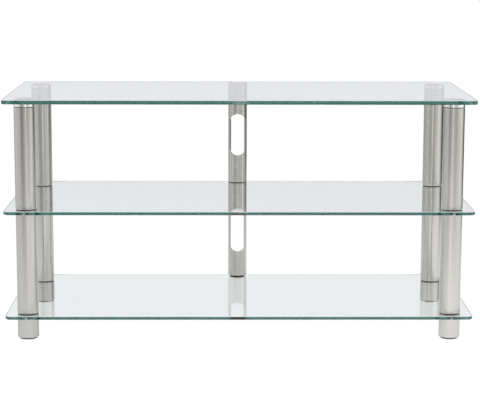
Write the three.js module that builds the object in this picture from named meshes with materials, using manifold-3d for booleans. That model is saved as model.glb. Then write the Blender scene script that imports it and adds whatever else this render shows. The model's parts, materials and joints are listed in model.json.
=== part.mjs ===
// A three-shelf audio equipment rack: clear glass shelves clamped between round metal legs,
// with a slotted cable column behind the middle. Millimetres, +Z up, the front faces -Y.
// The origin is on the floor, at the centre of the rack's bounding box.
import * as THREE from 'three';
import * as BufferGeometryUtils from 'three/addons/utils/BufferGeometryUtils.js';
import Module from 'manifold-3d';

const wasm = await Module();
wasm.setup();

// Glass shelves.
const shelfWidth = 1100;
const shelfDepth = 485;
const topGlass = 10;
const middleGlass = 8;
const bottomGlass = 8;
const shelfCornerRadius = 15;
const shelfArris = 0.8;
const rodHoleRadius = 5.5;

// Where the legs stand, measured to their axes from the edges of the glass.
const legSideSetback = 50;
const frontLegSetback = 44;
const rearLegSetback = 73;

// Leg tubes and the polished rings at their lower ends.
const tubeDiameter = 50;
const tubeWall = 1.5;
const tubeLength = 235;
const spigotClearance = 0.3;
const endRingHeight = 4;
const endRingEdge = 1;
const endRingSpigot = 12;

// Tie rods and the plates and rings that they pass through.
const rodDiameter = 8;
const rodClearance = 0.3;
const rodReachIntoFoot = 12;

// Washers and gaskets between metal and glass.
const washerThickness = 1;
const washerSetback = 1;
const washerBoreRadius = 9;
const gasketSpigot = 5;
const gasketSpigotWall = 3;

// Discs bonded under the top shelf.
const discHeight = 10;
const discEdge = 0.6;
const discSpigot = 5;
const discThreadDepth = 9;
const rodEndGap = 1.5;

// Feet: a short tube with two inner plates, a levelling screw and a pad.
const footHeight = 48;
const footEdge = 1.6;
const footPlate = 6;
const padShows = 4;
const padRadius = 21;
const padHeight = 8;
const padEdge = 1;
const padFloor = 2.2;
const padLip = 2.2;
const padStopGap = 0.3;
const screwDiameter = 8;
const screwHeadRadius = 7;
const screwHeadPlay = 0.3;
const screwToRodGap = 6.5;

// Cable column.
const columnDiameter = 48.3;
const columnWall = 1.5;
const columnSetback = 10;
const columnSlotWidth = 40;
const columnSlotLength = 107;
const columnBackWidth = 33.5;
const notchWidth = 37;
const insertClearance = 0.3;
const insertChannelWidth = 29;
const insertPlug = 15;
const insertCollarRadius = 19.2;
const insertCollarHeight = 3;
const insertKeeper = 2;
const columnGasketSpigot = 8;
const columnFlangeSetback = 0.5;

// One overrun serves every cut, so that no cutter ends level with a face.
const cutOverrun = 1;

// How finely round things are divided.
const legSides = 24;
const columnSides = 32;
const rodSides = 12;
const cornerSteps = 6;
const holeSteps = 6;
const slotSteps = 8;

// Heights above the floor, added up from the pads to the top shelf.
const footBottom = padShows;
const footTop = footBottom + footHeight;
const bottomShelfUnderside = footTop + washerThickness;
const bottomShelfTop = bottomShelfUnderside + bottomGlass;
const lowerRingBottom = bottomShelfTop + washerThickness;
const lowerTubeBottom = lowerRingBottom + endRingHeight;
const lowerTubeTop = lowerTubeBottom + tubeLength;
const middleShelfUnderside = lowerTubeTop + washerThickness;
const middleShelfTop = middleShelfUnderside + middleGlass;
const upperRingBottom = middleShelfTop + washerThickness;
const upperTubeBottom = upperRingBottom + endRingHeight;
const upperTubeTop = upperTubeBottom + tubeLength;
const topShelfUnderside = upperTubeTop + discHeight;

const columnRadius = columnDiameter / 2;
const columnBore = columnRadius - columnWall;
const columnFlangeRadius = columnRadius - columnFlangeSetback;
const insertBore = insertChannelWidth / 2;

// The column's open back ends in the edges of its tube and of the flange on its insert. Whichever
// stands out further behind the glass, the glass lies forward of the centre by half of that.
const tubeEdgeReach = Math.sqrt(columnRadius ** 2 - (columnBackWidth / 2) ** 2);
const flangeEdgeReach = Math.sqrt(columnFlangeRadius ** 2 - insertBore ** 2);
const columnOverhang = Math.max(tubeEdgeReach, flangeEdgeReach) - columnSetback;
const shelfRear = shelfDepth / 2 - columnOverhang / 2;
const shelfFront = shelfRear - shelfDepth;
const shelfMiddle = (shelfFront + shelfRear) / 2;
const columnY = shelfRear - columnSetback;

const tubeRadius = tubeDiameter / 2;
const tubeBore = tubeRadius - tubeWall;
const spigotRadius = tubeBore - spigotClearance;
const rodRadius = rodDiameter / 2;
const rodBore = rodRadius + rodClearance;
const screwRadius = screwDiameter / 2;
const screwBore = screwRadius + rodClearance;
const washerRadius = tubeRadius - washerSetback;

const legX = shelfWidth / 2 - legSideSetback;
const frontLegY = shelfFront + frontLegSetback;
const rearLegY = shelfRear - rearLegSetback;

const legPlaces = {
  front_left: [-legX, frontLegY],
  front_right: [legX, frontLegY],
  rear_left: [-legX, rearLegY],
  rear_right: [legX, rearLegY],
};

const finishes = {
  clearGlass: new THREE.MeshStandardMaterial({
    color: 0xc9dfda, roughness: 0.03, metalness: 0, transparent: true, opacity: 0.4,
  }),
  satinSteel: new THREE.MeshStandardMaterial({ color: 0xb9b6ae, roughness: 0.32, metalness: 1 }),
  polishedSteel: new THREE.MeshStandardMaterial({ color: 0xdcdcdc, roughness: 0.08, metalness: 1 }),
  zincSteel: new THREE.MeshStandardMaterial({ color: 0x9ea2a4, roughness: 0.4, metalness: 1 }),
  blackRubber: new THREE.MeshStandardMaterial({ color: 0x17181a, roughness: 0.6, metalness: 0 }),
  blackNylon: new THREE.MeshStandardMaterial({ color: 0x1c1d1f, roughness: 0.4, metalness: 0 }),
};

const rack = new THREE.Group();

function place(name, geometry, finish, x, y, z) {
  const mesh = new THREE.Mesh(geometry, finish);
  mesh.name = name;
  mesh.position.set(x, y, z);
  rack.add(mesh);
}

// A solid of revolution about Z. The outline is a list of [radius, height] that runs
// anticlockwise as seen with the radius to the right and the height up.
function turned(outline, sides) {
  const points = outline.map(([radius, height]) => new THREE.Vector2(radius, height));
  const geometry = new THREE.LatheGeometry(points, sides);
  geometry.rotateX(Math.PI / 2);
  return geometry;
}

// The same, for an outline that doesn't reach the axis and so closes on itself.
function turnedRing(outline, sides) {
  return turned([...outline, outline[0]], sides);
}

function toSolid(geometry) {
  const bare = geometry.clone();
  bare.deleteAttribute('normal');
  bare.deleteAttribute('uv');
  const merged = BufferGeometryUtils.mergeVertices(bare);
  return new wasm.Manifold(new wasm.Mesh({
    numProp: 3,
    vertProperties: new Float32Array(merged.attributes.position.array),
    triVerts: new Uint32Array(merged.index.array),
  }));
}

function toGeometry(solid) {
  const mesh = solid.getMesh();
  const geometry = new THREE.BufferGeometry();
  geometry.setAttribute('position', new THREE.BufferAttribute(new Float32Array(mesh.vertProperties), 3));
  geometry.setIndex(new THREE.BufferAttribute(new Uint32Array(mesh.triVerts), 1));
  geometry.computeVertexNormals();
  return geometry;
}

function cut(geometry, cutters) {
  let solid = toSolid(geometry);
  for (const cutter of cutters) {
    solid = solid.subtract(toSolid(cutter));
  }
  return toGeometry(solid);
}

// Glass shelves.

// A cable notch is open at the shelf's rear edge and ends in a half circle round the column's axis.
function addNotch(outline) {
  const radius = notchWidth / 2;
  outline.lineTo(radius, shelfDepth / 2);
  outline.lineTo(radius, shelfDepth / 2 - columnSetback);
  outline.absarc(0, shelfDepth / 2 - columnSetback, radius, 0, Math.PI, true);
  outline.lineTo(-radius, shelfDepth / 2);
}

function shelfOutline(notched) {
  const halfWidth = shelfWidth / 2;
  const halfDepth = shelfDepth / 2;
  const radius = shelfCornerRadius;
  const outline = new THREE.Shape();
  outline.moveTo(-halfWidth + radius, -halfDepth);
  outline.lineTo(halfWidth - radius, -halfDepth);
  outline.absarc(halfWidth - radius, -halfDepth + radius, radius, -Math.PI / 2, 0, false);
  outline.lineTo(halfWidth, halfDepth - radius);
  outline.absarc(halfWidth - radius, halfDepth - radius, radius, 0, Math.PI / 2, false);
  if (notched) {
    addNotch(outline);
  }
  outline.lineTo(-halfWidth + radius, halfDepth);
  outline.absarc(-halfWidth + radius, halfDepth - radius, radius, Math.PI / 2, Math.PI, false);
  outline.lineTo(-halfWidth, -halfDepth + radius);
  outline.absarc(-halfWidth + radius, -halfDepth + radius, radius, Math.PI, Math.PI * 1.5, false);
  return outline;
}

// The outline's edges are ground off by the arris, above and below.
function shelf(thickness, drilled) {
  const outline = shelfOutline(drilled);
  if (drilled) {
    for (const [x, y] of Object.values(legPlaces)) {
      const hole = new THREE.Path();
      hole.absarc(x, y - shelfMiddle, rodHoleRadius, 0, Math.PI * 2, true);
      outline.holes.push(hole);
    }
  }
  const geometry = new THREE.ExtrudeGeometry(outline, {
    depth: thickness - 2 * shelfArris,
    bevelEnabled: true,
    bevelSegments: 1,
    bevelSize: shelfArris,
    bevelOffset: -shelfArris,
    bevelThickness: shelfArris,
    curveSegments: drilled ? holeSteps : cornerSteps,
  });
  geometry.translate(0, 0, shelfArris);
  return geometry;
}

// The tie rods run from inside the feet to the blind threads in the top discs.
const rodBottom = footTop - rodReachIntoFoot;
const rodTop = upperTubeTop - discSpigot + discThreadDepth - rodEndGap;

// Parts of a leg. Each is made with its lowest face at height zero.

function ringBetween(outer, inner, height, sides) {
  return turnedRing([[inner, 0], [outer, 0], [outer, height], [inner, height]], sides);
}

function footPad() {
  const pocketRadius = screwHeadRadius + 2 * screwHeadPlay;
  const pocketTop = padHeight - padLip;
  return turned([
    [0, 0],
    [padRadius - padEdge, 0],
    [padRadius, padEdge],
    [padRadius, padHeight],
    [screwBore + screwHeadPlay, padHeight],
    [screwBore + screwHeadPlay, pocketTop],
    [pocketRadius, pocketTop],
    [pocketRadius, padFloor],
    [0, padFloor],
  ], legSides);
}

function levellingScrew() {
  const screwLength = rodBottom - screwToRodGap - padFloor - screwHeadPlay;
  const headHeight = padHeight - padLip - padFloor - 2 * screwHeadPlay;
  return turned([
    [0, 0],
    [screwHeadRadius, 0],
    [screwHeadRadius, headHeight],
    [screwRadius, headHeight],
    [screwRadius, screwLength],
    [0, screwLength],
  ], rodSides);
}

// The lower plate is the stop and the nut for the screw, and the upper one is the nut for the rod.
function foot() {
  const lowerPlateBottom = padHeight + padStopGap - footBottom;
  const lowerPlateTop = lowerPlateBottom + footPlate;
  const upperPlateBottom = footHeight - footPlate;
  return turnedRing([
    [tubeBore, 0],
    [tubeRadius - footEdge, 0],
    [tubeRadius, footEdge],
    [tubeRadius, footHeight],
    [rodBore, footHeight],
    [rodBore, upperPlateBottom],
    [tubeBore, upperPlateBottom],
    [tubeBore, lowerPlateTop],
    [screwBore, lowerPlateTop],
    [screwBore, lowerPlateBottom],
    [tubeBore, lowerPlateBottom],
  ], legSides);
}

function endRing() {
  return turnedRing([
    [rodBore, 0],
    [tubeRadius - endRingEdge, 0],
    [tubeRadius, endRingEdge],
    [tubeRadius, endRingHeight],
    [spigotRadius, endRingHeight],
    [spigotRadius, endRingHeight + endRingSpigot],
    [rodBore, endRingHeight + endRingSpigot],
  ], legSides);
}

// A gasket that closes the upper end of a tube: its spigot hangs down inside the tube.
function tubeGasket() {
  const bore = spigotRadius - gasketSpigotWall;
  return turnedRing([
    [bore, 0],
    [spigotRadius, 0],
    [spigotRadius, gasketSpigot],
    [washerRadius, gasketSpigot],
    [washerRadius, gasketSpigot + washerThickness],
    [bore, gasketSpigot + washerThickness],
  ], legSides);
}

// A disc with a spigot below it and a blind thread up its middle.
function topDisc() {
  const height = discSpigot + discHeight;
  return turned([
    [0, discThreadDepth],
    [rodBore, discThreadDepth],
    [rodBore, 0],
    [spigotRadius, 0],
    [spigotRadius, discSpigot],
    [tubeRadius, discSpigot],
    [tubeRadius, height - discEdge],
    [tubeRadius - discEdge, height],
    [0, height],
  ], legSides);
}

function tieRod() {
  const length = rodTop - rodBottom;
  return turned([[0, 0], [rodRadius, 0], [rodRadius, length], [0, length]], rodSides);
}

function addLeg(corner, x, y) {
  const washer = ringBetween(washerRadius, washerBoreRadius, washerThickness, legSides);
  const tube = ringBetween(tubeRadius, tubeBore, tubeLength, legSides);
  const { satinSteel, polishedSteel, zincSteel, blackRubber, blackNylon } = finishes;
  place(`${corner}_foot_pad`, footPad(), blackNylon, x, y, 0);
  place(`${corner}_levelling_screw`, levellingScrew(), zincSteel, x, y, padFloor + screwHeadPlay);
  place(`${corner}_foot`, foot(), satinSteel, x, y, footBottom);
  place(`${corner}_foot_washer`, washer, blackRubber, x, y, footTop);
  place(`${corner}_lower_washer`, washer, blackRubber, x, y, bottomShelfTop);
  place(`${corner}_lower_end_ring`, endRing(), polishedSteel, x, y, lowerRingBottom);
  place(`${corner}_lower_tube`, tube, satinSteel, x, y, lowerTubeBottom);
  place(`${corner}_lower_tube_gasket`, tubeGasket(), blackRubber, x, y, lowerTubeTop - gasketSpigot);
  place(`${corner}_upper_washer`, washer, blackRubber, x, y, middleShelfTop);
  place(`${corner}_upper_end_ring`, endRing(), polishedSteel, x, y, upperRingBottom);
  place(`${corner}_upper_tube`, tube, satinSteel, x, y, upperTubeBottom);
  place(`${corner}_top_disc`, topDisc(), polishedSteel, x, y, upperTubeTop - discSpigot);
  place(`${corner}_tie_rod`, tieRod(), zincSteel, x, y, rodBottom);
}

// Cable column. Its parts are made round their own axis, with the open side towards +Y.

// A cutter that opens the back of a round part, from its axis out to the rear.
function backCutter(width, bottom, top) {
  const reach = columnRadius + cutOverrun;
  const height = top - bottom + 2 * cutOverrun;
  const cutter = new THREE.BoxGeometry(width, reach, height);
  cutter.translate(0, reach / 2, bottom - cutOverrun + height / 2);
  return cutter;
}

// A cutter for the slot in the tube's front wall: straight sides with a half circle at each end.
function slotCutter(middle) {
  const radius = columnSlotWidth / 2;
  const straight = columnSlotLength / 2 - radius;
  const outline = new THREE.Shape();
  outline.absarc(0, straight, radius, 0, Math.PI, false);
  outline.absarc(0, -straight, radius, Math.PI, Math.PI * 2, false);
  outline.closePath();
  const cutter = new THREE.ExtrudeGeometry(outline, {
    depth: columnRadius + cutOverrun,
    bevelEnabled: false,
    curveSegments: slotSteps,
  });
  cutter.rotateX(Math.PI / 2);
  cutter.translate(0, 0, middle);
  return cutter;
}

function cableTube(length) {
  const tube = ringBetween(columnRadius, columnBore, length, columnSides);
  return cut(tube, [backCutter(columnBackWidth, 0, length), slotCutter(length / 2)]);
}

// A horseshoe: a turned outline whose round bore is carried out through the back.
function horseshoe(outline, channelWidth) {
  const heights = outline.map(([, height]) => height);
  const body = turnedRing(outline, columnSides);
  return cut(body, [backCutter(channelWidth, Math.min(...heights), Math.max(...heights))]);
}

const lowerColumnBottom = bottomShelfTop + insertCollarHeight;
const lowerColumnTop = middleShelfUnderside - washerThickness;
const upperColumnBottom = middleShelfTop + washerThickness;
const upperColumnTop = topShelfUnderside - washerThickness;

const insertWaist = notchWidth / 2 - insertClearance;
const insertPlugRadius = columnBore - insertClearance;

// It hooks under the bottom shelf, fills the notch, and stands up inside the lower tube.
function bottomInsert() {
  const underside = -bottomGlass - insertKeeper;
  return horseshoe([
    [insertBore, underside],
    [insertCollarRadius, underside],
    [insertCollarRadius, -bottomGlass],
    [insertWaist, -bottomGlass],
    [insertWaist, 0],
    [insertCollarRadius, 0],
    [insertCollarRadius, insertCollarHeight],
    [insertPlugRadius, insertCollarHeight],
    [insertPlugRadius, insertCollarHeight + insertPlug],
    [insertBore, insertCollarHeight + insertPlug],
  ], insertChannelWidth);
}

// It joins the two tubes through the middle shelf's notch.
function middleInsert() {
  const underside = -middleGlass - washerThickness;
  return horseshoe([
    [insertBore, underside - insertPlug],
    [insertPlugRadius, underside - insertPlug],
    [insertPlugRadius, underside],
    [columnFlangeRadius, underside],
    [columnFlangeRadius, -middleGlass],
    [insertWaist, -middleGlass],
    [insertWaist, 0],
    [columnFlangeRadius, 0],
    [columnFlangeRadius, washerThickness],
    [insertPlugRadius, washerThickness],
    [insertPlugRadius, washerThickness + insertPlug],
    [insertBore, washerThickness + insertPlug],
  ], insertChannelWidth);
}

function columnTopGasket() {
  return horseshoe([
    [insertBore, -columnGasketSpigot],
    [insertPlugRadius, -columnGasketSpigot],
    [insertPlugRadius, 0],
    [columnFlangeRadius, 0],
    [columnFlangeRadius, washerThickness],
    [insertBore, washerThickness],
  ], insertChannelWidth);
}

// The rack, from the bottom up.

place('bottom_shelf', shelf(bottomGlass, true), finishes.clearGlass, 0, shelfMiddle, bottomShelfUnderside);
place('middle_shelf', shelf(middleGlass, true), finishes.clearGlass, 0, shelfMiddle, middleShelfUnderside);
place('top_shelf', shelf(topGlass, false), finishes.clearGlass, 0, shelfMiddle, topShelfUnderside);

for (const [corner, [x, y]] of Object.entries(legPlaces)) {
  addLeg(corner, x, y);
}

const lowerCableTube = cableTube(lowerColumnTop - lowerColumnBottom);
const upperCableTube = cableTube(upperColumnTop - upperColumnBottom);
place('bottom_shelf_cable_insert', bottomInsert(), finishes.blackNylon, 0, columnY, bottomShelfTop);
place('lower_cable_tube', lowerCableTube, finishes.satinSteel, 0, columnY, lowerColumnBottom);
place('middle_shelf_cable_insert', middleInsert(), finishes.blackNylon, 0, columnY, middleShelfTop);
place('upper_cable_tube', upperCableTube, finishes.satinSteel, 0, columnY, upperColumnBottom);
place('cable_tube_top_gasket', columnTopGasket(), finishes.blackRubber, 0, columnY, upperColumnTop);

export default rack;
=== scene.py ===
# %% [markdown]
# # A glass audio rack, dressed over its CAD frame
#
# The rack is a stack: three sheets of clear glass, clamped one over the other between
# round metal legs, with a slotted cable column standing behind the middle. The CAD frame
# already has every piece at its real size. This script gives each piece its fine edges
# and its finish, and never moves or resizes it.
#
# The frame's own turned pieces have 24 to 32 sides, which is enough to measure and to
# collide, but shows as flats on a polished tube. So each one is made again here, on the
# frame's measures, with many more sides and with its edges broken.

# %% Load the frame
import json
import math

import bmesh
import bpy
from mathutils import Matrix, Vector


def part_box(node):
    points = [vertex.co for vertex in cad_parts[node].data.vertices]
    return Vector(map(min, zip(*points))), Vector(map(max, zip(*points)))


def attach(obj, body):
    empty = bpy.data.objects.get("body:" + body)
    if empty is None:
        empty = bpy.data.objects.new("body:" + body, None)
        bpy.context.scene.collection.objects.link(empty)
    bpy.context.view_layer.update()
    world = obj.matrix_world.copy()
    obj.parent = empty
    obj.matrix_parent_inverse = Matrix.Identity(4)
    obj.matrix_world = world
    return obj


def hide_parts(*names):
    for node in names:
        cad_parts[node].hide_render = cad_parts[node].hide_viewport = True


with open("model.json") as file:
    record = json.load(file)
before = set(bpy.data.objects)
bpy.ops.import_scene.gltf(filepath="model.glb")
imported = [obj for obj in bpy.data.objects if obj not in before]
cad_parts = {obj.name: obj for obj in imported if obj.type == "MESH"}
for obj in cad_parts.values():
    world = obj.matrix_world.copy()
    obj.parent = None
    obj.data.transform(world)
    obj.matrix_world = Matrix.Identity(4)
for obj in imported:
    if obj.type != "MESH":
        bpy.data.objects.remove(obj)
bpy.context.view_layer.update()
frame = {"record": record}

MM = 0.001
record = frame["record"]
bodies = record["behaviour"]["bodies"]
body_of_node = {node: body for body, members in bodies.items() for node in members}
slot_of_node = {part["node"]: part["material_slot"] for part in record["subparts"]}

# %% [markdown]
# ## Reading the frame's measures
#
# A box tells where a piece starts and ends. For a round piece it also gives the axis and
# the radius, so nearly every size below is read from the frame and not typed again.


# %% Measure a round piece
def axis_of(node):
    low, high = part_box(node)
    return (low.x + high.x) / 2, (low.y + high.y) / 2


def radius_of(node):
    low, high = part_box(node)
    return (high.x - low.x) / 2


def height_range(node):
    low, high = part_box(node)
    return low.z, high.z


def height_of(node):
    bottom, top = height_range(node)
    return top - bottom


CORNERS = ("front_left", "front_right", "rear_left", "rear_right")
SHELVES = ("bottom_shelf", "middle_shelf", "top_shelf")
for corner in CORNERS:
    x, y = axis_of(f"{corner}_upper_tube")
    print(f"{corner}: axis at {x:.4f}, {y:.4f}, radius {radius_of(f'{corner}_upper_tube'):.4f}")

# %% [markdown]
# ## Materials, made from nodes
#
# Each finish is a small node tree on Object coordinates. Every object keeps its origin at
# the rack's own origin, so one pattern runs over all the pieces without a break. Values
# that are the same all over sit on the shader's own sockets. Pictures of real steel could
# be wrapped on instead, but they show their seams on a tube and blur up close.


# %% A helper for node trees
MIX_COLOURS = (6, 7)
MIX_RESULT = 2


class Wiring:
    """Short ways to add and join the nodes of a shader tree."""

    def __init__(self, tree):
        self.tree = tree

    def add(self, kind, **settings):
        node = self.tree.nodes.new(kind)
        for key, value in settings.items():
            setattr(node, key, value)
        return node

    def join(self, source, target):
        self.tree.links.new(source, target)

    def feed(self, target, value):
        """Joins a socket, or writes a plain number or colour."""
        if isinstance(value, bpy.types.NodeSocket):
            self.join(value, target)
        else:
            target.default_value = value

    def maths(self, operation, first, second=0.0):
        node = self.add("ShaderNodeMath", operation=operation)
        self.feed(node.inputs[0], first)
        self.feed(node.inputs[1], second)
        return node.outputs[0]

    def spread(self, value, low, high, start=0.3, end=0.7):
        """Maps a value from start..end to low..high. Most of a noise lies in 0.3..0.7."""
        node = self.add("ShaderNodeMapRange")
        node.inputs["From Min"].default_value = start
        node.inputs["From Max"].default_value = end
        node.inputs["To Min"].default_value = low
        node.inputs["To Max"].default_value = high
        self.join(value, node.inputs["Value"])
        return node.outputs["Result"]

    def part_of(self, vector, axis):
        """The X, Y or Z of a vector."""
        node = self.add("ShaderNodeSeparateXYZ")
        self.join(vector, node.inputs["Vector"])
        return node.outputs[axis]

    def attribute(self, name):
        """A value that the mesh carries on its faces."""
        return self.add("ShaderNodeAttribute", attribute_name=name).outputs["Fac"]

    def blend(self, value, first, second):
        """Mixes two colours by a value. The Mix node's colours are not its first sockets."""
        node = self.add("ShaderNodeMix", data_type="RGBA")
        self.join(value, node.inputs["Factor"])
        for place, colour in zip(MIX_COLOURS, (first, second)):
            joined_in = isinstance(colour, bpy.types.NodeSocket)
            self.feed(node.inputs[place], colour if joined_in else (*colour, 1))
        return node.outputs[MIX_RESULT]

    def shader_mix(self, value, first, second):
        node = self.add("ShaderNodeMixShader")
        self.feed(node.inputs[0], value)
        self.join(first, node.inputs[1])
        self.join(second, node.inputs[2])
        return node.outputs[0]

    def steps(self, value, stops, tint=(1, 1, 1)):
        """A smooth ramp through (position, level) stops."""
        ramp = self.add("ShaderNodeValToRGB")
        ramp.color_ramp.interpolation = "EASE"
        while len(ramp.color_ramp.elements) < len(stops):
            ramp.color_ramp.elements.new(0.5)
        for element, (position, level) in zip(ramp.color_ramp.elements, stops):
            element.position = position
            element.color = (*(level * share for share in tint), 1)
        self.join(value, ramp.inputs["Fac"])
        return ramp.outputs["Color"]


print("wiring helper ready")


# %% A helper for finishes
class Finish(Wiring):
    """A material with its shader, and its noise and bump on Object coordinates."""

    def __init__(self, name):
        self.material = bpy.data.materials.new(name)
        self.material.use_nodes = True
        super().__init__(self.material.node_tree)
        self.shader = self.tree.nodes["Principled BSDF"]
        self.output = self.tree.nodes["Material Output"]

    def set(self, **values):
        for key, value in values.items():
            self.shader.inputs[key.replace("_", " ")].default_value = value

    def noise(self, scale, detail=3.0, roughness=0.5):
        """Noise on Object coordinates. The scale is in waves for each metre, along X, Y and Z."""
        place = self.add("ShaderNodeTexCoord")
        stretch = self.add("ShaderNodeMapping")
        stretch.inputs["Scale"].default_value = scale
        noise = self.add("ShaderNodeTexNoise")
        noise.inputs["Scale"].default_value = 1.0
        noise.inputs["Detail"].default_value = detail
        noise.inputs["Roughness"].default_value = roughness
        self.join(place.outputs["Object"], stretch.inputs["Vector"])
        self.join(stretch.outputs["Vector"], noise.inputs["Vector"])
        return noise.outputs["Fac"]

    def colour(self, value, dark, light):
        """Lets the colour run from dark to light with a noise."""
        self.join(self.blend(self.spread(value, 0, 1), dark, light), self.shader.inputs["Base Color"])

    def roughness(self, value, low, high):
        """Lets the roughness run from low to high with a noise."""
        self.join(self.spread(value, low, high), self.shader.inputs["Roughness"])

    def bump(self, value, distance, strength):
        node = self.add("ShaderNodeBump")
        node.inputs["Strength"].default_value = strength
        node.inputs["Distance"].default_value = distance
        self.join(value, node.inputs["Height"])
        self.join(node.outputs["Normal"], self.shader.inputs["Normal"])


print("finish helper ready")

# %% [markdown]
# ### Satin steel
#
# The legs are tubes that were ground round and round by a belt. The scratches run round
# the tube, so a highlight smears up and down it and stays narrow from side to side: that
# is why the photo shows clean upright streaks. An anisotropic shader with its tangent
# upright does just that, and a very fine ringed bump adds the grain for a close look.
# Real scratches in the bump alone would need far more samples for the same smear.

# %% Satin steel
SATIN_TONES = (0.555, 0.546, 0.522), (0.580, 0.571, 0.547)
SATIN_PATCHES = (14, 14, 5)
BELT_RINGS = (6, 6, 900)
BELT_ROUGHNESS = (0.23, 0.27)
BELT_SMEAR = 0.75
BELT_DEPTH = 0.002 * MM
UPRIGHT = (0.01, 0.02, 1.0)


def satin_steel():
    finish = Finish("satin_steel")
    finish.set(Metallic=1.0, Anisotropic=BELT_SMEAR)
    finish.colour(finish.noise(SATIN_PATCHES, detail=2), *SATIN_TONES)
    rings = finish.noise(BELT_RINGS, detail=2)
    finish.roughness(rings, *BELT_ROUGHNESS)
    finish.bump(rings, BELT_DEPTH, strength=0.04)
    upright = finish.add("ShaderNodeCombineXYZ")
    for axis, length in zip("XYZ", UPRIGHT):
        upright.inputs[axis].default_value = length
    finish.join(upright.outputs["Vector"], finish.shader.inputs["Tangent"])
    return finish.material


print("satin steel, roughness", *BELT_ROUGHNESS)

# %% [markdown]
# ### Polished steel
#
# The discs under the top shelf are buffed bright, and the rings that stand on the glass
# are turned and left a little greyer. Both mirror sharply, so they are almost smooth, with
# the faint haze that a buffing wheel leaves. The discs are bonded to the glass. Each disc's
# top is black but for its middle, and the groove under its rim is painted black as painted
# shade: the dark shadow line under the rim. It could be a piece of its own, but it is no
# thicker than paint, so a value on the faces tells the finish where it lies.

# %% Polished steel
BRIGHT_TONES = (0.93, 0.93, 0.925), (0.96, 0.96, 0.955)
RING_TONES = (0.54, 0.53, 0.51), (0.58, 0.57, 0.55)
# Black for each disc's top, and painted shade for the shadow line in the disc's groove.
RING_AND_GROOVE_SHADE_BLACK = (0.012, 0.012, 0.013)
BLACKENED_ROUGHNESS = 0.5
HAZE = (90, 90, 90)
HAZE_ROUGHNESS = (0.04, 0.08)
HAZE_DEPTH = 0.002 * MM


def polished_steel(name, tones):
    """Bright steel. Marked faces are black instead: the disc's top but for its middle, and its groove
    as painted shade.
    """
    finish = Finish(name)
    blackened = finish.attribute("black_ring_and_groove_shade")
    haze = finish.noise(HAZE)
    tone = finish.blend(finish.spread(haze, 0, 1), *tones)
    finish.join(finish.blend(blackened, tone, RING_AND_GROOVE_SHADE_BLACK), finish.shader.inputs["Base Color"])
    finish.join(finish.maths("SUBTRACT", 1.0, blackened), finish.shader.inputs["Metallic"])
    dulled = finish.maths("MULTIPLY", blackened, BLACKENED_ROUGHNESS)
    shine = finish.maths("ADD", finish.spread(haze, *HAZE_ROUGHNESS), dulled)
    finish.join(shine, finish.shader.inputs["Roughness"])
    finish.bump(haze, HAZE_DEPTH, strength=0.05)
    return finish.material


print("polished steel, roughness", *HAZE_ROUGHNESS)

# %% [markdown]
# ### Zinc-plated steel, rubber and nylon
#
# The rods and screws are plated, with a cloudy mottle. The washers and gaskets are black
# rubber. The pads and the column's inserts are moulded nylon, which keeps faint flow marks.
# One noise shapes the colour, the roughness and the bump together. Three separate ones
# would change at different spots, which a real surface seldom does. Only the nylon's
# colour has a noise of its own, for the flow marks.

# %% Zinc-plated steel, rubber and nylon
ZINC_TONES = (0.42, 0.43, 0.44), (0.58, 0.59, 0.60)
ZINC_MOTTLE = (350, 350, 350)
ZINC_ROUGHNESS = (0.28, 0.46)
ZINC_DEPTH = 0.02 * MM
RUBBER_TONES = (0.014, 0.014, 0.015), (0.030, 0.030, 0.032)
RUBBER_GRAIN = (900, 900, 900)
RUBBER_ROUGHNESS = (0.22, 0.34)
NYLON_TONES = (0.016, 0.016, 0.018), (0.026, 0.026, 0.029)
NYLON_GRAIN = (1400, 1400, 1400)
NYLON_FLOW = (40, 40, 12)
NYLON_ROUGHNESS = (0.18, 0.30)
GRAIN_DEPTH = 0.01 * MM


def zinc_steel():
    finish = Finish("zinc_steel")
    finish.set(Metallic=1.0)
    mottle = finish.noise(ZINC_MOTTLE, detail=4)
    finish.colour(mottle, *ZINC_TONES)
    finish.roughness(mottle, *ZINC_ROUGHNESS)
    finish.bump(mottle, ZINC_DEPTH, strength=0.3)
    return finish.material


def black_rubber():
    finish = Finish("black_rubber")
    grain = finish.noise(RUBBER_GRAIN)
    finish.colour(grain, *RUBBER_TONES)
    finish.roughness(grain, *RUBBER_ROUGHNESS)
    finish.bump(grain, GRAIN_DEPTH, strength=0.25)
    return finish.material


def black_nylon():
    finish = Finish("black_nylon")
    grain = finish.noise(NYLON_GRAIN, detail=2)
    finish.colour(finish.noise(NYLON_FLOW, detail=2), *NYLON_TONES)
    finish.roughness(grain, *NYLON_ROUGHNESS)
    finish.bump(grain, GRAIN_DEPTH, strength=0.25)
    return finish.material


print("grain of rubber and nylon", GRAIN_DEPTH / MM, "mm deep")

# %% [markdown]
# ### Clear glass
#
# Float glass looks clear through its face and green along its edge, because iron in it
# takes a little red away on every centimetre. A volume that absorbs gives both looks
# from one number: a ray across the sheet travels a few millimetres, and one that runs
# from edge to edge travels half a metre. Shadow rays and soft bounce light pass the sheet
# as if it were a pale filter, which is what a thin sheet does, and keeps the floor calm.
#
# The edges are ground before they are polished, so they ripple a little, and the narrow
# upper arris stays frosted. Marks on the faces tell the finish where those two are.

# %% Clear glass
GLASS_INDEX = 1.52
ABSORB_DENSITY = 6.9
ABSORB_COLOUR = (0.18, 0.48, 0.43, 1)
EDGE_RIPPLE = (220, 220, 900)
EDGE_ROUGHNESS = (0.05, 0.09)
FROST_COLOUR = (0.86, 1.0, 0.99, 1)
FILTER_COLOUR = (0.93, 0.96, 0.955, 1)


def frost(finish):
    """A matt surface that sends half of the light back and lets half through."""
    back, front = finish.add("ShaderNodeBsdfTranslucent"), finish.add("ShaderNodeBsdfDiffuse")
    for side in (back, front):
        side.inputs["Color"].default_value = FROST_COLOUR
    return finish.shader_mix(0.5, back.outputs["BSDF"], front.outputs["BSDF"])


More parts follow.
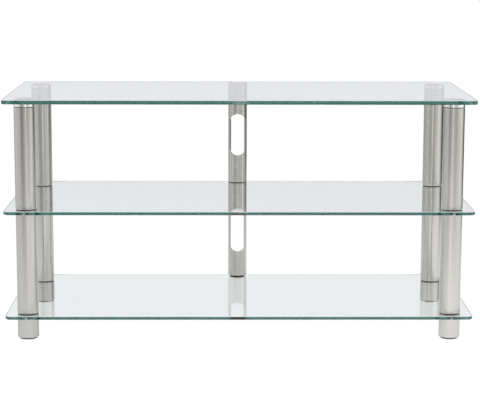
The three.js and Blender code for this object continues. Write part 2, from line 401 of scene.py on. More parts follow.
def clear_glass():
    finish = Finish("clear_glass")
    finish.set(Base_Color=(1, 1, 1, 1), IOR=GLASS_INDEX, Transmission_Weight=1.0)
    ripple = finish.spread(finish.noise(EDGE_RIPPLE, detail=2), *EDGE_ROUGHNESS)
    edge_only = finish.maths("MULTIPLY", finish.attribute("edge_polish"), ripple)
    finish.join(edge_only, finish.shader.inputs["Roughness"])
    volume = finish.add("ShaderNodeVolumeAbsorption")
    volume.inputs["Color"].default_value = ABSORB_COLOUR
    volume.inputs["Density"].default_value = ABSORB_DENSITY
    finish.join(volume.outputs["Volume"], finish.output.inputs["Volume"])
    ground = finish.attribute("ground_arris")
    body = finish.shader_mix(ground, finish.shader.outputs["BSDF"], frost(finish))
    path = finish.add("ShaderNodeLightPath")
    soft = finish.maths("MAXIMUM", path.outputs["Is Shadow Ray"], path.outputs["Is Diffuse Ray"])
    pale = finish.add("ShaderNodeBsdfTransparent")
    pale.inputs["Color"].default_value = FILTER_COLOUR
    finish.join(finish.shader_mix(soft, body, pale.outputs["BSDF"]), finish.output.inputs["Surface"])
    return finish.material


print("glass, index", GLASS_INDEX)

# %% Make the finishes
FINISHES = {
    "clear_glass": clear_glass(),
    "satin_steel": satin_steel(),
    "polished_steel": polished_steel("polished_steel", BRIGHT_TONES),
    "zinc_steel": zinc_steel(),
    "black_rubber": black_rubber(),
    "black_nylon": black_nylon(),
}
ring_finish = polished_steel("turned_ring_steel", RING_TONES)
print("finishes:", ", ".join(FINISHES))

# %% [markdown]
# ## Putting a finished piece in the frame's place
#
# Each fine piece stands for one CAD node. It rides on that node's body, takes the node's
# finish and hides the node. Smooth shading is broken at true edges only, so that walls
# look round and rims stay crisp.


# %% Swap a node for its fine piece
def swap(piece, node, sharp=30, finish=None):
    """Edges that turn by more than sharp, in degrees, stay sharp."""
    for polygon in piece.data.polygons:
        polygon.use_smooth = True
    piece.data.set_sharp_from_angle(angle=math.radians(sharp))
    piece.data.materials.clear()
    piece.data.materials.append(finish or FINISHES[slot_of_node[node]])
    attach(piece, body_of_node[node])
    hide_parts(node)
    return piece


# %% [markdown]
# ## From mesh code and modifiers to plain pieces
#
# A piece may start as mesh code, as a node tree, as a curve or as a cut. All of them end
# the same way: as a plain mesh on an object that sits at the origin.

# %% Make an object from a mesh
SAME_PLACE = 1e-7


def new_piece(name, mesh):
    piece = bpy.data.objects.new(name, mesh)
    bpy.context.scene.collection.objects.link(piece)
    return piece


def piece_from(name, shape):
    """Writes finished mesh code to a new piece."""
    mesh = bpy.data.meshes.new(name)
    shape.to_mesh(mesh)
    shape.free()
    return new_piece(name, mesh)


def heal(shape):
    """Merges doubled points, then turns every face outwards."""
    bmesh.ops.remove_doubles(shape, verts=shape.verts, dist=SAME_PLACE)
    bmesh.ops.recalc_face_normals(shape, faces=shape.faces)


def face_outwards(piece):
    shape = bmesh.new()
    shape.from_mesh(piece.data)
    heal(shape)
    shape.to_mesh(piece.data)
    shape.free()
    return piece


def baked(host, name):
    """The mesh of an object with its modifiers applied. The object goes."""
    ready = host.evaluated_get(bpy.context.evaluated_depsgraph_get())
    mesh = bpy.data.meshes.new_from_object(ready)
    bpy.data.objects.remove(host)
    mesh.name = name
    return mesh


def joined(name, pieces):
    """Several loose pieces as one."""
    shape = bmesh.new()
    for piece in pieces:
        shape.from_mesh(piece.data)
        bpy.data.objects.remove(piece)
    return piece_from(name, shape)


print("points closer than", SAME_PLACE, "m are merged")

# %% [markdown]
# ## Turned pieces
#
# Washers, rings, discs, pads and feet are all turned: one outline, spun about its axis.
# The outline is a list of corners, each with its own rounding, since real turned and
# moulded edges are never sharp. A Bevel modifier could round them, but it rounds all edges
# alike. So a helper puts a small arc in each corner, with one more point just beside it on
# each side: these guard points keep the smooth shading of a long wall straight, so it
# mirrors like a true cylinder. The outline is then spun in mesh code, so poles close on
# one vertex and rings close on themselves.

# %% Round an outline's corners
GUARD = 0.25 * MM
ARC_STEPS = 4
EDGE_SHARE = 0.49


def rounded(corners):
    """Corners are (radius, height, rounding). Gives (radius, height) points with arcs.

    No arc takes more than EDGE_SHARE of the edge beside it. A corner on the axis stays sharp.
    """
    points = []
    for i, (radius, height, rounding) in enumerate(corners):
        here = Vector((radius, height))
        if rounding <= 0 or radius <= 0:
            points.append(here)
            continue
        before = Vector(corners[i - 1][:2]) - here
        after = Vector(corners[(i + 1) % len(corners)][:2]) - here
        back, onward = before.normalized(), after.normalized()
        half_turn = before.angle(after) / 2
        reach = rounding / math.tan(half_turn)
        reach = min(reach, before.length * EDGE_SHARE, after.length * EDGE_SHARE)
        bend = reach * math.tan(half_turn)
        centre = here + (back + onward).normalized() * (bend / math.sin(half_turn))
        start = here + back * reach - centre
        end = here + onward * reach - centre
        sweep = start.angle_signed(end)
        points.append(here + back * (reach + min(GUARD, before.length / 2 - reach)))
        for k in range(ARC_STEPS + 1):
            points.append(centre + Matrix.Rotation(-sweep * k / ARC_STEPS, 2) @ start)
        points.append(here + onward * (reach + min(GUARD, after.length / 2 - reach)))
    return [(max(point.x, 0.0), point.y) for point in points]


print("guard points stand", GUARD / MM, "mm beside each arc")

# %% Spin an outline
TURNED_SIDES = 96


def turned(name, outline, x, y, z, sides=TURNED_SIDES):
    """A closed solid of revolution. The outline closes on itself, or on the axis at radius 0."""
    shape = bmesh.new()
    angles = [2 * math.pi * k / sides for k in range(sides)]
    rings = []
    for radius, height in outline:
        if radius < SAME_PLACE:
            rings.append([shape.verts.new((x, y, z + height))] * sides)
            continue
        rings.append([
            shape.verts.new((x + radius * math.cos(angle), y + radius * math.sin(angle), z + height))
            for angle in angles])
    for i, lower in enumerate(rings):
        upper = rings[(i + 1) % len(rings)]
        for k in range(sides):
            n = (k + 1) % sides
            loop = list(dict.fromkeys((lower[k], lower[n], upper[n], upper[k])))
            if len(loop) > 2:
                shape.faces.new(loop)
    heal(shape)
    return piece_from(name, shape)


print("turned pieces:", TURNED_SIDES, "sides, corners rounded")

# %% [markdown]
# ## Tubes, swept by Geometry Nodes
#
# A tube follows a rule: a rectangle as wide as the wall and as high as the tube, with its
# corners filleted, swept along a circle. A cylinder with Solidify and Bevel on it could be
# set up ten times over instead. Geometry Nodes say the rule in one small tree, with the
# sizes as named inputs, so all ten tubes, and any tube of another size, come from it.

# %% A helper for Geometry Nodes
FLOAT = "NodeSocketFloat"
WHOLE = "NodeSocketInt"
VECTOR = "NodeSocketVector"
MATERIAL = "NodeSocketMaterial"


class Grower:
    """A Geometry Nodes tree with named inputs that grows one mesh at a time."""

    def __init__(self, name, inputs):
        self.tree = bpy.data.node_groups.new(name, "GeometryNodeTree")
        self.names = {}
        for label, kind in inputs:
            socket = self.tree.interface.new_socket(label, in_out="INPUT", socket_type=kind)
            self.names[label] = socket.identifier
        self.tree.interface.new_socket("Geometry", in_out="OUTPUT", socket_type="NodeSocketGeometry")
        self.given = self.tree.nodes.new("NodeGroupInput")
        self.result = self.tree.nodes.new("NodeGroupOutput")

    def add(self, kind, inputs=None, **settings):
        node = self.tree.nodes.new(kind)
        for key, value in settings.items():
            setattr(node, key, value)
        for key, value in (inputs or {}).items():
            if isinstance(value, bpy.types.NodeSocket):
                self.tree.links.new(value, node.inputs[key])
            else:
                node.inputs[key].default_value = value
        return node

    def value(self, label):
        return self.given.outputs[label]

    def maths(self, operation, first, second):
        return self.add("ShaderNodeMath", {0: first, 1: second}, operation=operation).outputs[0]

    def half(self, label):
        return self.maths("MULTIPLY", self.value(label), 0.5)

    def close(self, geometry):
        real = self.add("GeometryNodeRealizeInstances", {"Geometry": geometry})
        paint = self.add("GeometryNodeSetMaterial", {
            "Geometry": real.outputs[0], "Material": self.value("Finish")})
        self.tree.links.new(paint.outputs[0], self.result.inputs[0])
        return self

    def grow(self, name, **values):
        """Sets the inputs by their sockets' identifiers, then takes the finished mesh."""
        host = new_piece(name + "_host", bpy.data.meshes.new(name + "_host"))
        modifier = host.modifiers.new("grow", "NODES")
        modifier.node_group = self.tree
        for label, value in values.items():
            modifier[self.names[label.replace("_", " ")]] = value
        return new_piece(name, baked(host, name))


print("grower ready")

# %% The tube tree
BREAK_STEPS = 3


def tube_tree():
    grower = Grower("tube_maker", [
        ("Outer radius", FLOAT), ("Wall", FLOAT), ("Length", FLOAT), ("Edge break", FLOAT),
        ("Sides", WHOLE), ("Place", VECTOR), ("Finish", MATERIAL)])
    add, value = grower.add, grower.value
    middle_radius = grower.maths("SUBTRACT", value("Outer radius"), grower.half("Wall"))
    path = add("GeometryNodeCurvePrimitiveCircle", {
        "Resolution": value("Sides"), "Radius": middle_radius})
    wall = add("GeometryNodeCurvePrimitiveQuadrilateral", {
        "Width": value("Wall"), "Height": value("Length")})
    soft_wall = add("GeometryNodeFilletCurve", {
        "Curve": wall.outputs[0], "Radius": value("Edge break"), "Count": BREAK_STEPS}, mode="POLY")
    swept = add("GeometryNodeCurveToMesh", {
        "Curve": path.outputs[0], "Profile Curve": soft_wall.outputs[0]})
    lift = add("ShaderNodeCombineXYZ", {"Z": grower.half("Length")})
    stand = add("ShaderNodeVectorMath", {0: value("Place"), 1: lift.outputs[0]}, operation="ADD")
    placed = add("GeometryNodeTransform", {
        "Geometry": swept.outputs[0], "Translation": stand.outputs[0]})
    return grower.close(placed.outputs[0])


tube_maker = tube_tree()


def tube_like(node, axis, wall, edge_break, sides):
    """A tube with the outer size and height of a CAD node."""
    bottom, top = height_range(node)
    tube = tube_maker.grow(
        node + "_fine", Outer_radius=radius_of(node), Wall=wall, Length=top - bottom,
        Edge_break=edge_break, Sides=sides, Place=(*axis, bottom), Finish=FINISHES[slot_of_node[node]])
    return face_outwards(tube)


print("tube tree of", len(tube_maker.tree.nodes), "nodes")

# %% Sweep the eight leg tubes
TUBE_WALL = 1.5 * MM
TUBE_EDGE = 0.15 * MM
TUBE_SIDES = 128
WALL_SHARP = 12

for corner in CORNERS:
    for level in ("lower_tube", "upper_tube"):
        node = f"{corner}_{level}"
        tube = tube_like(node, axis_of(node), TUBE_WALL, TUBE_EDGE, TUBE_SIDES)
        swap(tube, node, sharp=WALL_SHARP)
    print(corner, "tubes swept,", len(tube.data.polygons), "faces each")

# %% [markdown]
# ## Screws and rods
#
# A thread is a ridge that follows a helix. A bump could fake it, but not its outline. The
# tree below winds a small four-sided ridge along a spiral, half sunk in a plain core. The
# rods are threaded only where they are held, at both ends, as tie rods are.

# %% The thread tree
TURN_STEPS = 16
RIDGE_SIDES = 4
ROD_SIDES = 32


def thread_tree():
    grower = Grower("thread_maker", [
        ("Core radius", FLOAT), ("Ridge", FLOAT), ("Pitch", FLOAT), ("Length", FLOAT),
        ("Place", VECTOR), ("Finish", MATERIAL)])
    add, value = grower.add, grower.value
    turns = grower.maths("DIVIDE", value("Length"), value("Pitch"))
    helix = add("GeometryNodeCurveSpiral", {
        "Resolution": TURN_STEPS, "Rotations": turns, "Start Radius": value("Core radius"),
        "End Radius": value("Core radius"), "Height": value("Length")})
    ridge_shape = add("GeometryNodeCurvePrimitiveCircle", {
        "Resolution": RIDGE_SIDES, "Radius": value("Ridge")})
    ridge = add("GeometryNodeCurveToMesh", {
        "Curve": helix.outputs[0], "Profile Curve": ridge_shape.outputs[0], "Fill Caps": True})
    core = add("GeometryNodeMeshCylinder", {
        "Vertices": ROD_SIDES, "Radius": value("Core radius"), "Depth": value("Length")})
    lift = add("ShaderNodeCombineXYZ", {"Z": grower.half("Length")})
    raised = add("GeometryNodeTransform", {
        "Geometry": core.outputs["Mesh"], "Translation": lift.outputs[0]})
    both = add("GeometryNodeJoinGeometry")
    for part in (ridge, raised):
        grower.tree.links.new(part.outputs[0], both.inputs[0])
    placed = add("GeometryNodeTransform", {
        "Geometry": both.outputs[0], "Translation": value("Place")})
    return grower.close(placed.outputs[0])


thread_maker = thread_tree()
print("thread tree of", len(thread_maker.tree.nodes), "nodes")

# %% Make the tie rods and the levelling screws
THREAD_RADIUS = 4 * MM
PITCH = 1.25 * MM
RIDGE = 0.45 * MM
THREADED_END = 32 * MM
SHANK_EDGE = 0.4 * MM
HEAD_HEIGHT = 3 * MM
HEAD_LOW_EDGE = 0.5 * MM
HEAD_HIGH_EDGE = 0.8 * MM
HEAD_SIDES = 48
THREAD_SHARP = 40


def thread_on(name, node, bottom, length):
    return thread_maker.grow(
        name, Core_radius=THREAD_RADIUS - RIDGE, Ridge=RIDGE, Pitch=PITCH, Length=length,
        Place=(*axis_of(node), bottom), Finish=FINISHES["zinc_steel"])


def tie_rod(node):
    bottom, top = height_range(node)
    radius, shank_top = radius_of(node), top - bottom - THREADED_END
    shank = [(0, THREADED_END, 0), (radius, THREADED_END, SHANK_EDGE),
             (radius, shank_top, SHANK_EDGE), (0, shank_top, 0)]
    return joined(node + "_fine", [
        turned("shank", rounded(shank), *axis_of(node), bottom, sides=ROD_SIDES),
        thread_on("low_end", node, bottom + RIDGE, THREADED_END - RIDGE),
        thread_on("high_end", node, top - THREADED_END, THREADED_END - RIDGE),
    ])


def levelling_screw(node):
    bottom, top = height_range(node)
    radius = radius_of(node)
    head = [(0, 0, 0), (radius, 0, HEAD_LOW_EDGE),
            (radius, HEAD_HEIGHT, HEAD_HIGH_EDGE), (0, HEAD_HEIGHT, 0)]
    return joined(node + "_fine", [
        turned("head", rounded(head), *axis_of(node), bottom, sides=HEAD_SIDES),
        thread_on("shank", node, bottom + HEAD_HEIGHT - RIDGE, top - bottom - HEAD_HEIGHT),
    ])


for corner in CORNERS:
    for kind, make in (("tie_rod", tie_rod), ("levelling_screw", levelling_screw)):
        node = f"{corner}_{kind}"
        swap(make(node), node, sharp=THREAD_SHARP)
print("4 tie rods and 4 levelling screws, pitch", PITCH)

# %% [markdown]
# ## Feet, pads, rings, discs and washers
#
# These are the small turned pieces of a leg. Seen from the front they read as fine lines:
# a black washer on each side of the glass, a polished ring over it, and a bright disc
# bonded under the top shelf. Their edges catch the light, so the roundings matter most.
#
# A foot is a short tube with two plates inside, one for the screw and one for the tie rod.
# Its pad has two moulded grooves underneath and a pocket that holds the screw's head.

# %% Outlines of the foot and its pad
CLEARANCE = 0.3 * MM
ROD_BORE = 4.3 * MM
PLATE = 6 * MM
FINE_EDGE = 0.2 * MM


def foot_outline(node, pad):
    outer, height = radius_of(node), height_of(node)
    bore, edge, heel, rim = outer - TUBE_WALL, 0.15 * MM, 1.8 * MM, 0.3 * MM
    screw_plate = height_range(pad)[1] + CLEARANCE - height_range(node)[0]
    return [
        (bore, 0, edge), (outer, 0, heel), (outer, height, rim), (ROD_BORE, height, edge),
        (ROD_BORE, height - PLATE, edge), (bore, height - PLATE, 0), (bore, screw_plate + PLATE, 0),
        (ROD_BORE, screw_plate + PLATE, edge), (ROD_BORE, screw_plate, edge), (bore, screw_plate, 0),
    ]


GROOVE_SHARES = (0.45, 0.75)
GROOVE_WIDTH = 1.2 * MM
GROOVE_DEPTH = 0.6 * MM


def pad_outline(node):
    outer, height = radius_of(node), height_of(node)
    neck, pocket, floor, lip = 4.6 * MM, 7.6 * MM, 2.2 * MM, 2.2 * MM
    tread, rim, pocket_edge = 1.0 * MM, 0.6 * MM, 0.3 * MM
    outline = [(0, 0, 0)]
    for share in GROOVE_SHARES:
        near, far = outer * share, outer * share + GROOVE_WIDTH
        outline += [(near, 0, FINE_EDGE), (near, GROOVE_DEPTH, 0)]
        outline += [(far, GROOVE_DEPTH, 0), (far, 0, FINE_EDGE)]
    return outline + [
        (outer, 0, tread), (outer, height, rim), (neck, height, FINE_EDGE), (neck, height - lip, 0),
        (pocket, height - lip, 0), (pocket, floor, pocket_edge), (0, floor, 0),
    ]


print("pad outline of", len(pad_outline("front_left_foot_pad")), "corners")


# %% Outlines of the rings, gaskets and washers
def end_ring_outline(node):
    outer, height = radius_of(node), height_of(node)
    shown, spigot = 4 * MM, outer - TUBE_WALL - CLEARANCE
    base, shoulder, lead = 0.9 * MM, 0.25 * MM, 0.6 * MM
    return [
        (ROD_BORE, 0, FINE_EDGE), (outer, 0, base), (outer, shown, shoulder), (spigot, shown, 0),
        (spigot, height, lead), (ROD_BORE, height, FINE_EDGE),
    ]


def gasket_outline(node):
    outer, height = radius_of(node), height_of(node)
    spigot, wall, flange = 23.2 * MM, 3 * MM, 1.0 * MM
    bore, lead, inner_edge = spigot - wall, 0.4 * MM, 0.1 * MM
    return [
        (bore, 0, FINE_EDGE), (spigot, 0, lead), (spigot, height - flange, 0),
        (outer, height - flange, FINE_EDGE), (outer, height, FINE_EDGE), (bore, height, inner_edge),
    ]


def washer_outline(node):
    outer, height = radius_of(node), height_of(node)
    bore, inner_edge, rim = 9 * MM, 0.1 * MM, 0.25 * MM
    return [(bore, 0, inner_edge), (outer, 0, rim), (outer, height, rim), (bore, height, inner_edge)]


print("ring outline of", len(end_ring_outline("front_left_lower_end_ring")), "corners")

# %% Outline of the disc, its black top and its painted groove shade
DISC_GROOVE = (5 * MM, 6.6 * MM)
GROOVE_IN = 2.0 * MM
BLACK_TOP_REACH = (3.5 * MM, 24.3 * MM)
FACE_SLACK = 0.05 * MM
WALL_SLACK = 0.5 * MM
TOP_SLACK = 0.1 * MM


def disc_outline(node):
    outer, height = radius_of(node), height_of(node)
    spigot, thread_end = outer - TUBE_WALL - CLEARANCE, 9 * MM
    lead, groove_edge, shoulder, rim = 0.4 * MM, 0.1 * MM, 0.3 * MM, 0.5 * MM
    groove_low, groove_high = DISC_GROOVE
    black_from, black_to = BLACK_TOP_REACH
    return [
        (0, thread_end, 0), (ROD_BORE, thread_end, 0), (ROD_BORE, 0, FINE_EDGE), (spigot, 0, lead),
        (spigot, groove_low, 0), (outer - GROOVE_IN, groove_low, groove_edge),
        (outer - GROOVE_IN, groove_high, 0), (outer, groove_high, shoulder),
        (outer, height, rim), (black_to, height, 0), (black_from, height, 0), (0, height, 0),
    ]


def mark_blackened(piece, node):
    """Marks the disc's top black but for its middle, and paints its groove black as painted shade.

    A face is told by its centre, so each limit has a little slack.
    """
    x, y = axis_of(node)
    bottom, top = height_range(node)
    black_from, black_to = BLACK_TOP_REACH
    groove_low, groove_high = DISC_GROOVE
    groove_wall = radius_of(node) - GROOVE_IN + WALL_SLACK
    blackened = piece.data.attributes.new("black_ring_and_groove_shade", "FLOAT", "FACE")
    for polygon in piece.data.polygons:
        reach = math.hypot(polygon.center.x - x, polygon.center.y - y)
        rise = polygon.center.z - bottom
        on_top = polygon.center.z > top - TOP_SLACK and black_from < reach < black_to
        # Faces in the groove are painted black: painted shade for the shadow line under the rim.
        in_groove = groove_low < rise < groove_high - FACE_SLACK and reach < groove_wall
        blackened.data[polygon.index].value = 1.0 if on_top or in_groove else 0.0


print("film from and to, mm off the axis:", *(round(reach / MM, 1) for reach in BLACK_TOP_REACH))

# %% [markdown]
# ### A film of air at the glass
#
# A renderer can't tell which of two faces in the same place comes first, and clear glass
# shows the muddle at once. Real faces never quite touch either: there is always a thin
# film of air. So the faces that lie on a sheet are drawn back by a twentieth of a
# millimetre.

# %% Turn the small pieces of the legs
AIR_FILM = 0.05 * MM
TOUCH = 1e-6


def ease_from_glass(piece):
    for shelf in SHELVES:
        low, high = height_range(shelf)
        for vertex in piece.data.vertices:
            if abs(vertex.co.z - low) < TOUCH:
                vertex.co.z -= AIR_FILM
            elif abs(vertex.co.z - high) < TOUCH:
                vertex.co.z += AIR_FILM
    return piece


def turn_node(node, outline, finish=None):
    piece = turned(node + "_fine", rounded(outline), *axis_of(node), height_range(node)[0])
    return swap(ease_from_glass(piece), node, finish=finish)


for corner in CORNERS:
    turn_node(f"{corner}_foot", foot_outline(f"{corner}_foot", f"{corner}_foot_pad"))
    turn_node(f"{corner}_foot_pad", pad_outline(f"{corner}_foot_pad"))
    for washer in ("foot_washer", "lower_washer", "upper_washer"):
        turn_node(f"{corner}_{washer}", washer_outline(f"{corner}_{washer}"))
    for ring in ("lower_end_ring", "upper_end_ring"):
        turn_node(f"{corner}_{ring}", end_ring_outline(f"{corner}_{ring}"), ring_finish)
    turn_node(f"{corner}_lower_tube_gasket", gasket_outline(f"{corner}_lower_tube_gasket"))
    disc = turn_node(f"{corner}_top_disc", disc_outline(f"{corner}_top_disc"))
    mark_blackened(disc, f"{corner}_top_disc")
    print(corner, "small pieces turned")

# %% [markdown]
# ## The glass shelves
#
# A shelf is a flat outline with holes, given a thickness. Cutting the holes with Booleans
# would work too, but a two-dimensional curve does it in one step: it fills between its
# loops, and its bevel grinds the same narrow arris along the outer edge and round each
# hole. The corners are arcs of many points, because a polished corner shows every flat.

# %% Outlines for the glass
ARRIS_SHARE = 0.115
CORNER_RADIUS = 15 * MM
HOLE_RADIUS = 5.5 * MM
NOTCH_RADIUS = 18.5 * MM
NOTCH_SETBACK = 10 * MM
CORNER_STEPS = 20
HOLE_STEPS = 40
NOTCH_STEPS = 48


def arc(x, y, radius, start, end, steps):
    """Points round a centre, from one angle in degrees to the other."""
    angles = [math.radians(start + (end - start) * k / steps) for k in range(steps + 1)]
    return [(x + radius * math.cos(angle), y + radius * math.sin(angle)) for angle in angles]


def notch(back):
    """The U in the rear edge that lets the cable column through."""
    bowl = arc(0, back - NOTCH_SETBACK, NOTCH_RADIUS, 0, -180, NOTCH_STEPS)
    return [(NOTCH_RADIUS, back), *bowl, (-NOTCH_RADIUS, back)]


def shelf_loops(low, high, drilled):
    r = CORNER_RADIUS
    outline = arc(low.x + r, low.y + r, r, 180, 270, CORNER_STEPS)
    outline += arc(high.x - r, low.y + r, r, 270, 360, CORNER_STEPS)
    outline += arc(high.x - r, high.y - r, r, 0, 90, CORNER_STEPS)
    outline += notch(high.y) if drilled else []
    outline += arc(low.x + r, high.y - r, r, 90, 180, CORNER_STEPS)
    if not drilled:
        return [outline]
    rods = [axis_of(f"{corner}_tie_rod") for corner in CORNERS]
    return [outline] + [arc(x, y, HOLE_RADIUS, 0, 360, HOLE_STEPS)[:-1] for x, y in rods]


print("middle shelf:", len(shelf_loops(*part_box("middle_shelf"), drilled=True)), "loops")

# %% Fill, thicken and grind a sheet
FACE_TILT = 0.99
WALL_TILT = 0.1
GLASS_SHARP = 20


def add_loop(curve, loop):
    spline = curve.splines.new("POLY")
    spline.points.add(len(loop) - 1)
    for point, (x, y) in zip(spline.points, loop):
        point.co = (x, y, 0, 1)
    spline.use_cyclic_u = True


def mark_edges(piece):
    """Tells the finish which faces are polished edge, and which are the upper arris."""
    polish = piece.data.attributes.new("edge_polish", "FLOAT", "FACE")
    ground = piece.data.attributes.new("ground_arris", "FLOAT", "FACE")
    for polygon in piece.data.polygons:
        upward = polygon.normal.z
        polish.data[polygon.index].value = 0.0 if abs(upward) > FACE_TILT else 1.0
        ground.data[polygon.index].value = 1.0 if WALL_TILT < upward < FACE_TILT else 0.0


def glass_sheet(node, drilled):
    low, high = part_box(node)
    curve = bpy.data.curves.new(node + "_outline", "CURVE")
    curve.dimensions = "2D"
    curve.fill_mode = "BOTH"
    thickness = high.z - low.z
    arris = thickness * ARRIS_SHARE
    curve.extrude = thickness / 2 - arris
    curve.bevel_depth = arris
    curve.bevel_resolution = 0
    curve.offset = -arris
    for loop in shelf_loops(low, high, drilled):
        add_loop(curve, loop)
    mesh = baked(new_piece(node + "_host", curve), node + "_fine")
    mesh.transform(Matrix.Translation((0, 0, (low.z + high.z) / 2)))
    piece = face_outwards(new_piece(node + "_fine", mesh))
    mark_edges(piece)
    return piece


for shelf in SHELVES:
    sheet = swap(glass_sheet(shelf, drilled=shelf != "top_shelf"), shelf, sharp=GLASS_SHARP)
    print(shelf, "size", [round(v, 4) for v in sheet.dimensions], "faces", len(sheet.data.polygons))

# %% [markdown]
# ## The cable column
#
# Each column tube is open along its back and has a round-ended slot in front, so cables
# can enter and leave at any shelf. Both openings are straight cuts through a curved wall,
# which is what a Boolean modifier is for: the slot's edge then follows the wall by itself,
# where drawn faces would have to be worked out point by point.


# %% Cut a piece with plain cutters
def cut(piece, cutters):
    for cutter in cutters:
        modifier = piece.modifiers.new("cut", "BOOLEAN")
        modifier.operation = "DIFFERENCE"
        modifier.solver = "EXACT"
        modifier.object = cutter
    name = piece.name
    mesh = baked(piece, name)
    for cutter in cutters:
        bpy.data.objects.remove(cutter)
    return new_piece(name, mesh)


def prism(name, outline, near, far):
    """A cutter with its outline in XZ, running from near to far along Y."""
    shape = bmesh.new()
    front = [shape.verts.new((x, near, z)) for x, z in outline]
    back = [shape.verts.new((x, far, z)) for x, z in outline]
    shape.faces.new(front)
    shape.faces.new(back)
    for k in range(len(outline)):
        n = (k + 1) % len(outline)
        shape.faces.new((front[k], front[n], back[n], back[k]))
    bmesh.ops.recalc_face_normals(shape, faces=shape.faces)
    return piece_from(name, shape)


SLIT_WIDTH = 33.5 * MM
SLOT_WIDTH = 40 * MM
SLOT_LENGTH = 107 * MM
SLOT_STEPS = 40
CLEAR = 5 * MM
CUTTER_REACH = 40 * MM
column_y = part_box("middle_shelf")[1].y - NOTCH_SETBACK


def back_cutter(width, bottom, top):
    half = width / 2
    low, high = bottom - CLEAR, top + CLEAR
    outline = [(-half, low), (half, low), (half, high), (-half, high)]
    return prism("back_cutter", outline, column_y, column_y + CUTTER_REACH)


def slot_cutter(middle):
    half = SLOT_WIDTH / 2
    rise = SLOT_LENGTH / 2 - half
    outline = arc(0, middle + rise, half, 0, 180, SLOT_STEPS)
    outline += arc(0, middle - rise, half, 180, 360, SLOT_STEPS)
    return prism("slot_cutter", outline, column_y - CUTTER_REACH, column_y)


print("column axis", round(column_y, 4), "m behind the middle")

# %% Make the two column tubes
COLUMN_WALL = 1.5 * MM
COLUMN_EDGE = 0.2 * MM
COLUMN_SIDES = 144

for node in ("lower_cable_tube", "upper_cable_tube"):
    bottom, top = height_range(node)
    tube = tube_like(node, (0, column_y), COLUMN_WALL, COLUMN_EDGE, COLUMN_SIDES)
    tube = cut(tube, [back_cutter(SLIT_WIDTH, bottom, top), slot_cutter((bottom + top) / 2)])
    swap(tube, node, sharp=WALL_SHARP)
    print(node, "from", round(bottom, 4), "to", round(top, 4), len(tube.data.polygons), "faces")

# %% [markdown]
# ### Horseshoes
#
# Three black pieces hold the column: a nylon insert grips the notch of each drilled shelf
# and plugs the tubes there, and a rubber gasket closes the upper tube under the top shelf.
# Each is open at the back like the tubes. The channel is cut a hair narrower than the bore,
# so that the cutter's flat sides cross the round bore instead of just touching it.

# %% Make the three horseshoes
CHANNEL_WIDTH = 29 * MM
CHANNEL_TRIM = 0.02 * MM
FLANGE_SETBACK = 0.7 * MM
GRIP = 0.03 * MM
BORE = CHANNEL_WIDTH / 2
PLUG = radius_of("lower_cable_tube") - COLUMN_WALL - CLEARANCE
FLANGE = radius_of("lower_cable_tube") - FLANGE_SETBACK
WAIST = NOTCH_RADIUS + GRIP
COLLAR = 19.2 * MM
SOFT = 0.3 * MM


def horseshoe(node, outline):
    body = turned(node + "_fine", rounded(outline), 0, column_y, 0)
    body = cut(body, [back_cutter(CHANNEL_WIDTH - CHANNEL_TRIM, *height_range(node))])
    return swap(ease_from_glass(body), node)


def bottom_insert(node):
    low, high = height_range(node)
    under, over = height_range("bottom_shelf")
    seat = height_range("lower_cable_tube")[0]
    return [
        (BORE, low, SOFT), (COLLAR, low, SOFT), (COLLAR, under, 0), (WAIST, under, 0),
        (WAIST, over, 0), (COLLAR, over, 0), (COLLAR, seat, 0), (PLUG, seat, 0),
        (PLUG, high, SOFT), (BORE, high, SOFT),
    ]


def middle_insert(node):
    low, high = height_range(node)
    under, over = height_range("middle_shelf")
    low_seat = height_range("lower_cable_tube")[1]
    high_seat = height_range("upper_cable_tube")[0]
    return [
        (BORE, low, SOFT), (PLUG, low, SOFT), (PLUG, low_seat, 0), (FLANGE, low_seat, SOFT),
        (FLANGE, under, SOFT), (WAIST, under, 0), (WAIST, over, 0), (FLANGE, over, SOFT),
        (FLANGE, high_seat, SOFT), (PLUG, high_seat, 0), (PLUG, high, SOFT), (BORE, high, SOFT),
    ]


def top_gasket(node):
    low, high = height_range(node)
    seat = height_range("upper_cable_tube")[1]
    return [
        (BORE, low, SOFT), (PLUG, low, SOFT), (PLUG, seat, 0), (FLANGE, seat, SOFT),
        (FLANGE, high, SOFT), (BORE, high, SOFT),
    ]


HORSESHOES = {
    "bottom_shelf_cable_insert": bottom_insert,
    "middle_shelf_cable_insert": middle_insert,
    "cable_tube_top_gasket": top_gasket,
}
for node, outline_of in HORSESHOES.items():
    horseshoe(node, outline_of(node))
print(len(HORSESHOES), "horseshoes turned and cut")

# %% [markdown]
# ## The studio
#
# The rack stands on a large white sheet. Metal is only as good as what it mirrors, so a
# curved screen stands round the front and the sides, two metres away, with bright panels
# and darker gaps that draw the upright lines on the tubes. Only mirrored rays see it. The
# world behind it is what the glass mirrors. The camera, and rays that go through glass,
# see plain white, and soft rays get an even pale light.
#
# ### The floor
#
# To the eye the sheet is plain white. To a mirrored ray it is shaded: brighter on the
# right, brighter again in a soft pool in front, and darker to a ray that travels away from
# the camera. That gives the feet and the lower tubes a bright front and darker sides.
# A lamp with a shaped beam could draw the same, but it would show on the white sheet.

# %% Tell the rays apart
PLAIN_WHITE = (1.0, 1.0, 1.0)


def mirrored_rays(wiring, path):
    """Rays that were mirrored, and not bent through glass."""
    not_bent = wiring.maths("SUBTRACT", 1.0, path.outputs["Is Transmission Ray"])
    return wiring.maths("MULTIPLY", path.outputs["Is Glossy Ray"], not_bent)


def direct_rays(wiring, path):
    """Rays of the camera, and those that have just passed through glass."""
    return wiring.maths("MAXIMUM", path.outputs["Is Camera Ray"], path.outputs["Is Transmission Ray"])


def studio_surface(name, points, faces, material):
    mesh = bpy.data.meshes.new(name)
    mesh.from_pydata(points, [], faces)
    surface = new_piece(name, mesh)
    surface.data.materials.append(material)
    return surface


print("rays told apart: direct and mirrored")

